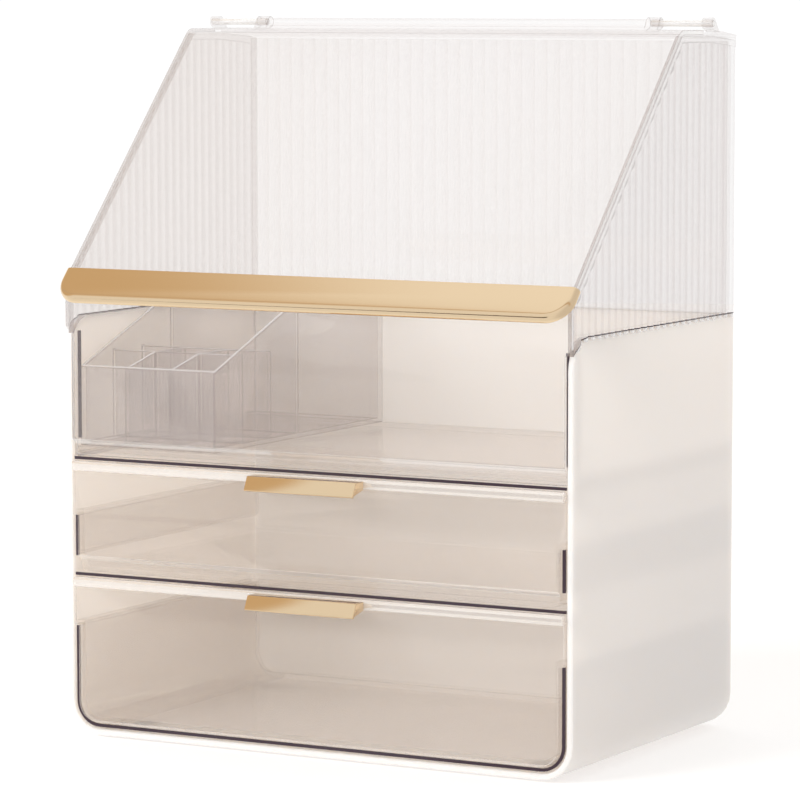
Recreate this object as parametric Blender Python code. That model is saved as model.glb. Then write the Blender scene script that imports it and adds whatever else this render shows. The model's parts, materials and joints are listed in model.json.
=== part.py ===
"""Cosmetic organiser box: a champagne base with two drawers, a clear fluted hood, a hinged lid with a gold
grip and a lift-out divider tray. Metres, +Z up, +X to the right, -Y to the front, origin under the middle.
"""

import math

import bmesh
import bpy
from mathutils import Vector

# Base shell
BODY_WIDTH = 0.300
BODY_DEPTH = 0.1915
WALL = 0.0032
BOTTOM_RADIUS = 0.018
SHOULDER_RADIUS = 0.016
SHELF_LEDGE_WIDTH = 0.0030
SHELF_LEDGE_HEIGHT = 0.0022

# Clearances
FIT_GAP = 0.0003
RUN_GAP = 0.0014
SIDE_GAP = 0.0007
SLIDE_GAP = 0.0004
FRONT_LINE = 0.0026

# Feet
FOOT_RADIUS = 0.008
FOOT_HEIGHT = 0.0010
FOOT_INSET = 0.030

# Drawer fronts and drawers
LOWER_FRONT_HEIGHT = 0.0776
UPPER_FRONT_HEIGHT = 0.0594
FRONT_THICKNESS = 0.0026
FRONT_PROUD = 0.0015
LIP_HEIGHT = 0.0055
LIP_DEPTH = 0.0050
LIP_RADIUS = 0.0018
JOG_HEIGHT = 0.0064
JOG_DEPTH = 0.0027
DRAWER_WALL = 0.0022
DRAWER_BOTTOM = 0.0024
DRAWER_BACK_SPACE = 0.0080
UPPER_DRAWER_RADIUS = 0.0050
FLANGE_THICKNESS = 0.0024
WALL_STEP = 0.0004

# Drawer runners
RUNNER_THICKNESS = 0.0022
RUNNER_SETBACK = 0.0020
LOWER_RUNNER_RISE = 0.0510
LOWER_RUNNER_TOE = 0.0040
UPPER_RUNNER_LIFT = 0.0084
UPPER_RUNNER_HEIGHT = 0.0217

# Gold drawer handles
HANDLE_WIDTH = 0.0646
HANDLE_THICKNESS = 0.0014
HANDLE_REACH = 0.0080
HANDLE_LEAN = 0.0035
HANDLE_FACE_HEIGHT = 0.0072
HANDLE_TAB_HEIGHT = 0.0045
HANDLE_DROP = 0.0009

# Shelf under the upper compartment
SHELF_THICKNESS = 0.0032
SHELF_SETBACK = 0.0045
SHELF_STEP = 0.0014

# Hood
COMPARTMENT_WALL_HEIGHT = 0.0686
HOOD_WALL = 0.0034
RIB_HEIGHT = 0.0013
RIB_PITCH = 0.0077
RIB_TONGUE = 0.0018
HOOD_BAND = 0.0034
REAR_RIB_HEIGHT = 0.0011
REAR_CORNER = 0.0030
TOP_PLATE_THICKNESS = 0.0025
TOP_PLATE_DROP = 0.0030
TOP_PLATE_SPACE = 0.0038

# Lid
LID_THICKNESS = 0.0025
LID_PROUD = 0.0012
LID_FRONT_ABOVE_SEAM = 0.0204
LID_SLOPE_RISE = 0.1308
LID_TOP_LENGTH = 0.0318
LID_BEND_RADIUS = 0.0040
LID_TOP_RADIUS = 0.0090

# Lid hinge
HINGE_FROM_REAR = 0.0360
HINGE_ABOVE_LID = 0.0034
BARREL_RADIUS = 0.0022
BARREL_HALF_LENGTH = 0.1160
KNUCKLE_RADIUS = 0.0031
KNUCKLE_LENGTH = 0.0075
PIN_RADIUS = 0.0018
PIN_GRIP = 0.0055
EAR_LENGTH = 0.0055
EAR_OVERHANG = 0.0035
WEB_LENGTH = 0.0040

# Gold lid grip
GRIP_FACE = 0.0205
GRIP_RIM = 0.0042
GRIP_THICKNESS = 0.0016
GRIP_CORNER_RADIUS = 0.0135
GRIP_EDGE_RADIUS = 0.0034
GRIP_OVERLAP = 0.0065

# Divider tray
TRAY_WIDTH = 0.0838
TRAY_SIDE_SPACE = 0.0021
TRAY_END_SPACE = 0.0030
TRAY_WALL = 0.0020
TRAY_FRONT_HEIGHT = 0.0425
TRAY_REAR_HEIGHT = 0.0755
TRAY_CELL_DEPTH = 0.0270
LOW_DIVIDER_HEIGHT = 0.0490
TRAY_COLUMNS = 3

ARC_STEPS = 6
ROUND_STEPS = 20
RIB_STEPS = 4
OVERRUN = 0.0020

# Heights, stacked from the floor up
shell_bottom = FOOT_HEIGHT + FIT_GAP
inner_bottom = shell_bottom + WALL
lower_front_bottom = inner_bottom + FIT_GAP + RUNNER_THICKNESS + RUN_GAP
lower_front_top = lower_front_bottom + LOWER_FRONT_HEIGHT
upper_front_bottom = lower_front_top + FRONT_LINE
upper_front_top = upper_front_bottom + UPPER_FRONT_HEIGHT
lid_bottom = upper_front_top + FRONT_LINE
shelf_bottom = lid_bottom + SHELF_STEP
shelf_top = shelf_bottom + SHELF_THICKNESS
seam = shelf_top + COMPARTMENT_WALL_HEIGHT
lid_bend_height = seam + LID_FRONT_ABOVE_SEAM
lid_top_height = lid_bend_height + LID_SLOPE_RISE
lower_runner_top = lower_front_bottom + LOWER_RUNNER_RISE
upper_runner_bottom = upper_front_bottom + UPPER_RUNNER_LIFT
upper_runner_top = upper_runner_bottom + UPPER_RUNNER_HEIGHT

# Half widths, from the outside in
half = BODY_WIDTH / 2
inner_half = half - WALL
runner_outer = inner_half - FIT_GAP
runner_inner = runner_outer - RUNNER_THICKNESS
narrow_half = runner_inner - RUN_GAP
wide_half = inner_half - SIDE_GAP
rib_valley = half + FIT_GAP - RIB_HEIGHT / 2
rib_crest = rib_valley + RIB_HEIGHT
hood_inner = rib_valley - HOOD_WALL
lid_half = half - FIT_GAP
grip_half = lid_half + FIT_GAP + GRIP_THICKNESS

# Places along the depth, counted from the front edge of the shell
shell_rear_inner = BODY_DEPTH - WALL
hinge_y = BODY_DEPTH - HINGE_FROM_REAR
hinge_z = lid_top_height + HINGE_ABOVE_LID
lid_top_y = hinge_y - LID_TOP_LENGTH
hood_rear_inner = BODY_DEPTH - REAR_RIB_HEIGHT - HOOD_WALL
drawer_rear = shell_rear_inner - DRAWER_BACK_SPACE
slope = Vector((lid_top_y + LID_PROUD, LID_SLOPE_RISE)).normalized()
slope_normal = Vector((-slope.y, slope.x))
bend = Vector((-LID_PROUD, lid_bend_height))
grip_top = bend + slope * GRIP_OVERLAP + slope_normal * (GRIP_THICKNESS + FIT_GAP)
front_rear = FRONT_THICKNESS - FRONT_PROUD
lip_front = front_rear - FRONT_THICKNESS / 2 - LIP_DEPTH / 2
handle_rear = lip_front - FIT_GAP
handle_front = handle_rear - HANDLE_REACH - HANDLE_LEAN
frame_shift = Vector((0, -(BODY_DEPTH + handle_front) / 2, 0))

for old in list(bpy.data.objects):
    bpy.data.objects.remove(old, do_unlink=True)


def finish(name, colour, roughness, metallic=0.0, alpha=1.0):
    """A material with the piece's own colour, gloss and clearness."""
    material = bpy.data.materials.new(name)
    material.use_nodes = True
    shader = material.node_tree.nodes["Principled BSDF"]
    shader.inputs["Base Color"].default_value = (*colour, 1.0)
    shader.inputs["Roughness"].default_value = roughness
    shader.inputs["Metallic"].default_value = metallic
    shader.inputs["Alpha"].default_value = alpha
    return material


champagne = finish("champagne_plastic", (0.78, 0.71, 0.66), 0.25, alpha=0.85)
tinted = finish("tinted_clear_plastic", (0.80, 0.72, 0.65), 0.08, alpha=0.45)
clear = finish("clear_plastic", (0.93, 0.92, 0.91), 0.05, alpha=0.25)
gold = finish("gold_plating", (0.83, 0.60, 0.30), 0.15, metallic=1.0)
pad = finish("foot_pad_rubber", (0.75, 0.74, 0.72), 0.60)


def rig(name, place):
    """An empty that carries one moving body, at a place counted from the shell's front edge."""
    empty = bpy.data.objects.new(name, None)
    empty.location = Vector(place) + frame_shift
    bpy.context.scene.collection.objects.link(empty)
    return empty


body_rig = rig("body_rig", -frame_shift)
lid_rig = rig("lid_rig", (0, hinge_y, hinge_z))
lower_rig = rig("lower_drawer_rig", (0, 0, lower_front_bottom))
upper_rig = rig("upper_drawer_rig", (0, 0, upper_front_bottom))
tray_rig = rig("tray_rig", (-wide_half, SHELF_SETBACK, shelf_top))


def add(name, bm, parent, material=None):
    """Turns a mesh built from the shell's front edge into a placed object under its rig."""
    mesh = bpy.data.meshes.new(name)
    bm.to_mesh(mesh)
    bm.free()
    piece = bpy.data.objects.new(name, mesh)
    piece.parent = parent
    piece.location = frame_shift - parent.location
    bpy.context.scene.collection.objects.link(piece)
    if material:
        mesh.materials.append(material)
    return piece


def carve(piece, operation, bm):
    """Cuts or joins a tool mesh to a piece with a live Boolean."""
    tool = add(f"{piece.name}_{operation.lower()}_{len(piece.modifiers)}", bm, piece.parent)
    tool.hide_render = True
    tool.display_type = "WIRE"
    modifier = piece.modifiers.new(tool.name, "BOOLEAN")
    modifier.operation = operation
    modifier.object = tool


def smooth(piece, degrees=30):
    """Shades a round piece smooth, with its real edges kept sharp."""
    piece.data.shade_smooth()
    piece.data.set_sharp_from_angle(angle=math.radians(degrees))


def push(bm, points, axis, start, end):
    """Adds a closed outline pushed along an axis; its points lie in the two other axes, in X, Y, Z order."""

    def corner(u, v, w):
        return {"X": (w, u, v), "Y": (u, w, v), "Z": (u, v, w)}[axis]

    verts = [bm.verts.new(corner(u, v, start)) for u, v in points]
    face = bm.faces.new(verts)
    grown = bmesh.ops.extrude_face_region(bm, geom=[face])["geom"]
    moved = [item for item in grown if isinstance(item, bmesh.types.BMVert)]
    bmesh.ops.translate(bm, verts=moved, vec=Vector(corner(0, 0, end - start)))
    bmesh.ops.recalc_face_normals(bm, faces=bm.faces)
    return bm


def prism(points, axis, start, end):
    """One pushed outline as a mesh of its own."""
    return push(bmesh.new(), points, axis, start, end)


def rectangle(x, y):
    """The four corners between a pair of X and a pair of Y."""
    return [(x[0], y[0]), (x[1], y[0]), (x[1], y[1]), (x[0], y[1])]


def box(x, y, z):
    """A block between pairs of X, Y and Z."""
    return prism(rectangle(x, y), "Z", *z)


def arc(centre, radius, start, end, steps=ARC_STEPS):
    """Points round a centre from one angle to another, in degrees."""
    turns = [math.radians(start + (end - start) * i / steps) for i in range(steps + 1)]
    return [(centre[0] + radius * math.cos(t), centre[1] + radius * math.sin(t)) for t in turns]


def disc(centre, radius):
    """A full circle of points."""
    return arc(centre, radius, 0, 360, ROUND_STEPS)[:-1]


def rounded(points, radii):
    """The outline with an arc in place of each corner that has a radius."""
    out = []
    for i, (point, radius) in enumerate(zip(points, radii)):
        here = Vector(point)
        if not radius:
            out.append(here)
            continue
        back = (Vector(points[i - 1]) - here).normalized()
        ahead = (Vector(points[(i + 1) % len(points)]) - here).normalized()
        opening = back.angle(ahead) / 2
        centre = here + (back + ahead).normalized() * radius / math.sin(opening)
        first = here + back * radius / math.tan(opening) - centre
        last = here + ahead * radius / math.tan(opening) - centre
        turn = math.atan2(first.x * last.y - first.y * last.x, first.dot(last))
        begin = math.atan2(first.y, first.x)
        for step in range(ARC_STEPS + 1):
            angle = begin + turn * step / ARC_STEPS
            out.append(centre + Vector((math.cos(angle), math.sin(angle))) * radius)
    return [tuple(point) for point in out]


def beside(path, distance):
    """The open path moved to its left by a distance, mitred at its corners."""
    moved = []
    for i, point in enumerate(path):
        runs = [j for j in (i - 1, i) if 0 <= j < len(path) - 1]
        normals = []
        for j in runs:
            run = (Vector(path[j + 1]) - Vector(path[j])).normalized()
            normals.append(Vector((-run.y, run.x)))
        side = sum(normals, Vector((0, 0))).normalized()
        moved.append(tuple(Vector(point) + side * distance / side.dot(normals[0])))
    return moved


def sheet(path, thickness):
    """A bent sheet's closed outline: its outer path, and the same path inside its thickness."""
    return path + beside(path, -thickness)[::-1]


def mirrored(points):
    """The outline with its first coordinate turned over, for the left side."""
    return [(-u, v) for u, v in points][::-1]


# Base shell: a trough with round bottom edges, a rear wall, round shoulders and two ledges for the shelf
def shell_outline(offset, top):
    """The shell's U as an outline, moved in from its outside by an offset."""
    x = half - offset
    floor = shell_bottom + offset
    corners = [(-x, top), (-x, floor), (x, floor), (x, top)]
    radius = BOTTOM_RADIUS - offset
    return rounded(corners, [0, radius, radius, 0])


shell = add("base_shell", prism(shell_outline(0, seam), "Y", 0, BODY_DEPTH), body_rig, champagne)
carve(shell, "DIFFERENCE", prism(shell_outline(WALL, seam + OVERRUN), "Y", -OVERRUN, shell_rear_inner))
shoulder_centre = (SHOULDER_RADIUS, seam - SHOULDER_RADIUS)
shoulder_cut = [(-OVERRUN, seam + OVERRUN), (-OVERRUN, seam - SHOULDER_RADIUS)]
shoulder_cut += arc(shoulder_centre, SHOULDER_RADIUS, 180, 90)
shoulder_cut += [(SHOULDER_RADIUS, seam + OVERRUN)]
carve(shell, "DIFFERENCE", prism(shoulder_cut, "X", -half - OVERRUN, half + OVERRUN))
ledge_top = shelf_bottom - FIT_GAP
for side in (-1, 1):
    ledge_x = sorted((side * (inner_half + WALL / 2), side * (inner_half - SHELF_LEDGE_WIDTH)))
    ledge_y = (SHELF_SETBACK, shell_rear_inner + WALL / 2)
    carve(shell, "UNION", box(ledge_x, ledge_y, (ledge_top - SHELF_LEDGE_HEIGHT, ledge_top)))

# Four round pads under the flat of the bottom
for side, side_name in ((-1, "left"), (1, "right")):
    for end, end_name in ((FOOT_INSET, "front"), (BODY_DEPTH - FOOT_INSET, "rear")):
        outline = disc((side * (half - FOOT_INSET), end), FOOT_RADIUS)
        foot = add(f"foot_{end_name}_{side_name}", prism(outline, "Z", 0, FOOT_HEIGHT), body_rig, pad)
        smooth(foot)

# Runners: the lower pair lines the bottom corners of the shell, the upper pair is a straight strip
runner_y = (RUNNER_SETBACK, shell_rear_inner - FIT_GAP)
runner_radius = BOTTOM_RADIUS - WALL - FIT_GAP
corner_x = half - BOTTOM_RADIUS
corner_z = shell_bottom + BOTTOM_RADIUS
lower_path = [(corner_x - LOWER_RUNNER_TOE, corner_z - runner_radius)]
lower_path += arc((corner_x, corner_z), runner_radius, -90, 0)
lower_path += [(runner_outer, lower_runner_top)]
lower_strip = lower_path + beside(lower_path, RUNNER_THICKNESS)[::-1]
upper_strip = [
    (runner_outer, upper_runner_bottom),
    (runner_outer, upper_runner_top),
    (runner_inner, upper_runner_top),
    (runner_inner, upper_runner_bottom + RUNNER_THICKNESS),
]
for height_name, strip in (("lower", lower_strip), ("upper", upper_strip)):
    add(f"runner_{height_name}_right", prism(strip, "Y", *runner_y), body_rig, tinted)
    add(f"runner_{height_name}_left", prism(mirrored(strip), "Y", *runner_y), body_rig, tinted)

# Shelf: the floor of the upper compartment, on the shell's ledges
shelf_x = (-inner_half + FIT_GAP, inner_half - FIT_GAP)
shelf_y = (SHELF_SETBACK, shell_rear_inner - FIT_GAP)
add("compartment_shelf", box(shelf_x, shelf_y, (shelf_bottom, shelf_top)), body_rig, tinted)


# Drawers: a tray with flanges that ride on the runners, and a front that widens above them
def drawer(name, parent, bottom, height, radius, runner_top, jog):
    """One drawer as a single moulding."""
    top = bottom + height
    flange_bottom = runner_top + SLIDE_GAP
    flange_top = flange_bottom + FLANGE_THICKNESS
    tray_half = narrow_half - WALL_STEP
    tray_bottom = bottom + WALL_STEP
    tray_radius = max(radius - WALL_STEP, 0)
    inside_half = tray_half - DRAWER_WALL

    outline = [
        (-wide_half, flange_top),
        (-wide_half, flange_bottom),
        (-tray_half, flange_bottom),
        (-tray_half, tray_bottom),
        (tray_half, tray_bottom),
        (tray_half, flange_bottom),
        (wide_half, flange_bottom),
        (wide_half, flange_top),
    ]
    outline = rounded(outline, [0, 0, 0, tray_radius, tray_radius, 0, 0, 0])
    piece = add(name, prism(outline, "Y", 0, drawer_rear), parent, tinted)

    face = [
        (-wide_half, top - LIP_HEIGHT / 2),
        (-wide_half, flange_bottom),
        (-narrow_half, flange_bottom),
        (-narrow_half, bottom),
        (narrow_half, bottom),
        (narrow_half, flange_bottom),
        (wide_half, flange_bottom),
        (wide_half, top - LIP_HEIGHT / 2),
    ]
    face = rounded(face, [0, 0, 0, radius, radius, 0, 0, 0])
    carve(piece, "UNION", prism(face, "Y", -FRONT_PROUD, front_rear))

    inside_rear = drawer_rear - DRAWER_WALL
    floor = tray_bottom + DRAWER_BOTTOM
    inside = [
        (-inside_half, top + OVERRUN),
        (-inside_half, floor),
        (inside_half, floor),
        (inside_half, top + OVERRUN),
    ]
    inner_radius = max(tray_radius - DRAWER_WALL, 0)
    inside = rounded(inside, [0, inner_radius, inner_radius, 0])
    inside_front = front_rear + (JOG_DEPTH if jog else 0)
    carve(piece, "DIFFERENCE", prism(inside, "Y", inside_front, inside_rear))

    if jog:
        ramp = bottom + JOG_HEIGHT
        face_back = [
            (front_rear, top + OVERRUN),
            (front_rear, ramp + JOG_DEPTH + FRONT_THICKNESS / 2),
            (front_rear + JOG_DEPTH, ramp + FRONT_THICKNESS / 2),
            (front_rear + JOG_DEPTH + OVERRUN, ramp + FRONT_THICKNESS / 2),
            (front_rear + JOG_DEPTH + OVERRUN, top + OVERRUN),
        ]
        carve(piece, "DIFFERENCE", prism(face_back, "X", -inside_half, inside_half))
        recess = [
            (-FRONT_PROUD - OVERRUN, bottom - OVERRUN),
            (JOG_DEPTH - FRONT_PROUD, bottom - OVERRUN),
            (JOG_DEPTH - FRONT_PROUD, ramp),
            (-FRONT_PROUD, ramp + JOG_DEPTH),
            (-FRONT_PROUD - OVERRUN, ramp + JOG_DEPTH),
        ]
        carve(piece, "DIFFERENCE", prism(recess, "X", -half, half))

    lip = [
        (lip_front, top - LIP_HEIGHT),
        (lip_front + LIP_DEPTH, top - LIP_HEIGHT),
        (lip_front + LIP_DEPTH, top),
        (lip_front, top),
    ]
    lip = rounded(lip, [LIP_RADIUS] * 4)
    lip_half = wide_half - WALL_STEP
    carve(piece, "UNION", prism(lip, "X", -lip_half, lip_half))


lower_radius = runner_radius - RUNNER_THICKNESS - RUN_GAP
lower_front = (lower_front_bottom, LOWER_FRONT_HEIGHT, lower_radius)
upper_front = (upper_front_bottom, UPPER_FRONT_HEIGHT, UPPER_DRAWER_RADIUS)
drawer("drawer_lower", lower_rig, *lower_front, lower_runner_top, False)
drawer("drawer_upper", upper_rig, *upper_front, upper_runner_top, True)


# Handles: a folded gold sheet with wedge ends, fixed by its tab to the lip of a drawer front
def handle(name, parent, front_top):
    """One handle, open underneath for the fingers."""
    top = front_top - HANDLE_DROP
    path = [
        (handle_front, top - HANDLE_FACE_HEIGHT),
        (handle_rear - HANDLE_REACH, top),
        (handle_rear, top),
        (handle_rear, top - HANDLE_TAB_HEIGHT),
    ]
    side = HANDLE_WIDTH / 2
    piece = add(name, prism(sheet(path, HANDLE_THICKNESS), "X", -side, side), parent, gold)
    for end in (-1, 1):
        cheek = sorted((end * side, end * (side - HANDLE_THICKNESS)))
        carve(piece, "UNION", prism(path, "X", *cheek))


handle("handle_lower", lower_rig, lower_front_top)
handle("handle_upper", upper_rig, upper_front_top)

# Outline of the lid, from its lower front edge up over the slope to the hinge
lid_end = hinge_y - WEB_LENGTH
lid_path = [
    (JOG_DEPTH - LID_PROUD, lid_bottom),
    (JOG_DEPTH - LID_PROUD, lid_bottom + JOG_HEIGHT),
    (-LID_PROUD, lid_bottom + JOG_HEIGHT + JOG_DEPTH),
    tuple(bend),
    (lid_top_y, lid_top_height),
    (lid_end, lid_top_height),
]
lid_path = rounded(lid_path, [0, 0, 0, LID_BEND_RADIUS, LID_TOP_RADIUS, 0])
plate_start = hinge_y + TOP_PLATE_SPACE
plate_middle = (plate_start + BODY_DEPTH) / 2
plate_path = [
    (plate_start, lid_top_height),
    (plate_middle, lid_top_height - TOP_PLATE_DROP / 3),
    (BODY_DEPTH, lid_top_height - TOP_PLATE_DROP),
]

# Hood sides: ribbed outside, seated on the shell, with a smooth band along the top
panel_front = LID_THICKNESS - LID_PROUD + FIT_GAP
slope_edge = beside(lid_path, -LID_THICKNESS - FIT_GAP)
under_lid = [point for point in slope_edge if point[1] > seam and point[0] < lid_end - OVERRUN]
under_plate = beside(plate_path, -TOP_PLATE_THICKNESS - FIT_GAP)
seat_radius = SHOULDER_RADIUS + FIT_GAP
seat_start = math.degrees(math.acos((SHOULDER_RADIUS - panel_front) / seat_radius))
tongue_radius = seat_radius - RIB_TONGUE
tongue_start = math.degrees(math.acos((SHOULDER_RADIUS - panel_front) / tongue_radius))


def lower_edge(radius, start):
    """The hood side's lower edge, round the shoulder and along the seam."""
    return arc(shoulder_centre, radius, 180 - start, 90) + [(BODY_DEPTH, shoulder_centre[1] + radius)]


top_edge = [under_lid[-1], (lid_end, under_lid[-1][1]), *under_plate]
panel_outline = lower_edge(tongue_radius, tongue_start) + top_edge[::-1] + under_lid[:-1][::-1]
seat_edge = lower_edge(seat_radius, seat_start)
seat_foot = seam - SHOULDER_RADIUS - OVERRUN
seat_outline = [(panel_front - OVERRUN, seat_foot), (panel_front - OVERRUN, seat_edge[0][1]), *seat_edge]
seat_outline += [(BODY_DEPTH + OVERRUN, seam + FIT_GAP), (BODY_DEPTH + OVERRUN, seat_foot)]
band_line = beside(top_edge, -HOOD_BAND)
above_band = [(BODY_DEPTH + OVERRUN, lid_top_height + OVERRUN), (band_line[0][0], lid_top_height + OVERRUN)]
band_cut = band_line + [(BODY_DEPTH + OVERRUN, band_line[-1][1])] + above_band
band_bar = beside(top_edge, -HOOD_BAND - WALL_STEP)
band_bar += [(BODY_DEPTH + OVERRUN, band_bar[-1][1])] + above_band


def ribs(start, end, valley, height):
    """A run of round ribs: places along it, with how far each point stands out."""
    count = max(1, round((end - start) / RIB_PITCH))
    points = []
    for i in range(count * RIB_STEPS):
        swell = math.sin(math.pi * (i % RIB_STEPS) / RIB_STEPS)
        points.append((start + (end - start) * i / (count * RIB_STEPS), valley + height * swell))
    return points + [(end, valley)]


for side, side_name in ((-1, "left"), (1, "right")):
    rib_ends = (panel_front + WALL_STEP, BODY_DEPTH - WALL_STEP)
    run = [(x, y) for y, x in ribs(*rib_ends, rib_valley, RIB_HEIGHT)]
    plan = [(hood_inner, panel_front - OVERRUN), (rib_valley, panel_front - OVERRUN), *run]
    plan += [(rib_valley, BODY_DEPTH + OVERRUN), (hood_inner, BODY_DEPTH + OVERRUN)]
    if side < 0:
        plan = mirrored(plan)
    slab = prism(plan, "Z", seat_foot, hinge_z)
    panel = add(f"hood_side_{side_name}", slab, body_rig, clear)
    filled = sorted((side * (hood_inner + HOOD_WALL / 2), side * (half + FIT_GAP / 2)))
    carve(panel, "UNION", prism(band_bar, "X", *filled))
    across = sorted((side * (hood_inner - OVERRUN), side * (rib_crest + OVERRUN)))
    carve(panel, "INTERSECT", prism(panel_outline, "X", *across))
    seat = sorted((side * (hood_inner - OVERRUN), side * (half + FIT_GAP)))
    carve(panel, "DIFFERENCE", prism(seat_outline, "X", *seat))
    proud = sorted((side * (half + FIT_GAP), side * (rib_crest + OVERRUN)))
    carve(panel, "DIFFERENCE", prism(band_cut, "X", *proud))

# Hood rear: ribbed outside, with thickened corners inside
rear_half = hood_inner - FIT_GAP
rear_valley = BODY_DEPTH - REAR_RIB_HEIGHT
rear_plan = [
    (-rear_half, hood_rear_inner - REAR_CORNER),
    (-rear_half + REAR_CORNER, hood_rear_inner),
    (rear_half - REAR_CORNER, hood_rear_inner),
    (rear_half, hood_rear_inner - REAR_CORNER),
]
rear_plan += ribs(-rear_half, rear_half, rear_valley, REAR_RIB_HEIGHT)[::-1]
rear_top = under_plate[-1][1] - FIT_GAP
rear_panel = prism(rear_plan, "Z", seam + FIT_GAP, rear_top)
add("hood_rear", rear_panel, body_rig, clear)

# Hood top: the fixed strip behind the lid, with an ear at each end for the hinge pins
plate_half = half + FIT_GAP
top_strip = prism(sheet(plate_path, TOP_PLATE_THICKNESS), "X", -plate_half, plate_half)
top_plate = add("hood_top", top_strip, body_rig, clear)
axis_point = (hinge_y, hinge_z)
ear_outline = [
    (plate_start + WEB_LENGTH, lid_top_height - TOP_PLATE_THICKNESS / 2),
    (plate_start, lid_top_height - TOP_PLATE_THICKNESS / 2),
    (hinge_y, hinge_z - KNUCKLE_RADIUS),
]
ear_outline += arc(axis_point, KNUCKLE_RADIUS, 270, 45, ROUND_STEPS)[1:]
ear_outer = half + EAR_OVERHANG
ear_inner = ear_outer - EAR_LENGTH
bore = PIN_RADIUS + FIT_GAP
for side in (-1, 1):
    carve(top_plate, "UNION", prism(ear_outline, "X", *sorted((side * ear_inner, side * ear_outer))))
    across = sorted((side * (ear_inner - OVERRUN), side * (ear_outer + OVERRUN)))
    carve(top_plate, "DIFFERENCE", prism(disc(axis_point, bore), "X", *across))

# Hinge pins: two clear rods from the ears into the lid's knuckles
knuckle_end = BARREL_HALF_LENGTH + KNUCKLE_LENGTH
for side, side_name in ((-1, "left"), (1, "right")):
    reach = sorted((side * (knuckle_end - PIN_GRIP), side * ear_outer))
    pin = add(f"hinge_pin_{side_name}", prism(disc(axis_point, PIN_RADIUS), "X", *reach), body_rig, clear)
    smooth(pin)

# Lid: one bent clear sheet with a hinge barrel and two knuckles
lid = add("lid", prism(sheet(lid_path, LID_THICKNESS), "X", -lid_half, lid_half), lid_rig, clear)
shoulder_pass = seam - SHOULDER_RADIUS + math.sqrt(
    SHOULDER_RADIUS**2 - (SHOULDER_RADIUS - LID_THICKNESS + LID_PROUD) ** 2
)
narrow_top = shoulder_pass + RUN_GAP
widening = lid_half + OVERRUN - wide_half
for side in (-1, 1):
    trim = [
        (wide_half, lid_bottom - OVERRUN),
        (wide_half, narrow_top),
        (lid_half + OVERRUN, narrow_top + widening),
        (lid_half + OVERRUN, lid_bottom - OVERRUN),
    ]
    if side < 0:
        trim = mirrored(trim)
    trim_y = (-LID_PROUD - OVERRUN, LID_THICKNESS + JOG_DEPTH + OVERRUN)
    carve(lid, "DIFFERENCE", prism(trim, "Y", *trim_y))
web_outline = [
    (lid_end - LID_THICKNESS, lid_top_height - LID_THICKNESS * 2 / 3),
    (lid_end, lid_top_height - LID_THICKNESS * 2 / 3),
    (hinge_y, hinge_z - BARREL_RADIUS / 2),
    (hinge_y, hinge_z),
    (hinge_y - BARREL_RADIUS / 2, hinge_z),
    (lid_end - LID_THICKNESS, lid_top_height - LID_THICKNESS / 3),
]
carve(lid, "UNION", prism(web_outline, "X", -BARREL_HALF_LENGTH, BARREL_HALF_LENGTH))
carve(lid, "UNION", prism(disc(axis_point, BARREL_RADIUS), "X", -BARREL_HALF_LENGTH, BARREL_HALF_LENGTH))
knuckle_outline = [
    (hinge_y, hinge_z - KNUCKLE_RADIUS),
    (lid_end, lid_top_height - LID_THICKNESS / 2),
    (lid_end - LID_THICKNESS, lid_top_height - LID_THICKNESS / 2),
]
knuckle_outline += arc(axis_point, KNUCKLE_RADIUS, 150, -90, ROUND_STEPS)[:-1]
for side in (-1, 1):
    reach = sorted((side * (BARREL_HALF_LENGTH - WALL_STEP), side * knuckle_end))
    carve(lid, "UNION", prism(knuckle_outline, "X", *reach))
    hole = sorted((side * (knuckle_end - PIN_GRIP - FIT_GAP), side * (knuckle_end + OVERRUN)))
    carve(lid, "DIFFERENCE", prism(disc(axis_point, bore), "X", *hole))


# Lid grip: a shallow gold pan over the bend, with a round edge at the front and the ends, open to the rear
def grip_block(inset, low, high, rear, round_edge):
    """The grip's outline, moved in by an inset, between two depths under its face."""
    x = grip_half - inset
    corners = [(-x, inset - GRIP_FACE), (x, inset - GRIP_FACE), (x, rear), (-x, rear)]
    radius = GRIP_CORNER_RADIUS - inset
    bm = prism(rounded(corners, [radius, radius, 0, 0]), "Z", low, high)
    if round_edge:
        upper = [edge for edge in bm.edges if all(vert.co.z > (low + high) / 2 for vert in edge.verts)]
        rim = [edge for edge in upper if any(vert.co.y < rear - WALL_STEP for vert in edge.verts)]
        rounding = {"offset": round_edge, "segments": RIB_STEPS, "profile": 0.5}
        bmesh.ops.bevel(bm, geom=rim, affect="EDGES", material=-1, **rounding)
    for vert in bm.verts:
        place = grip_top + slope * vert.co.y + slope_normal * vert.co.z
        vert.co = (vert.co.x, place.x, place.y)
    bmesh.ops.recalc_face_normals(bm, faces=bm.faces)
    return bm


grip = add("lid_grip", grip_block(0, -GRIP_RIM, 0, 0, GRIP_EDGE_RADIUS), lid_rig, gold)
hollow = grip_block(GRIP_THICKNESS, -GRIP_RIM - OVERRUN, -GRIP_THICKNESS, OVERRUN, 0)
carve(grip, "DIFFERENCE", hollow)

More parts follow.
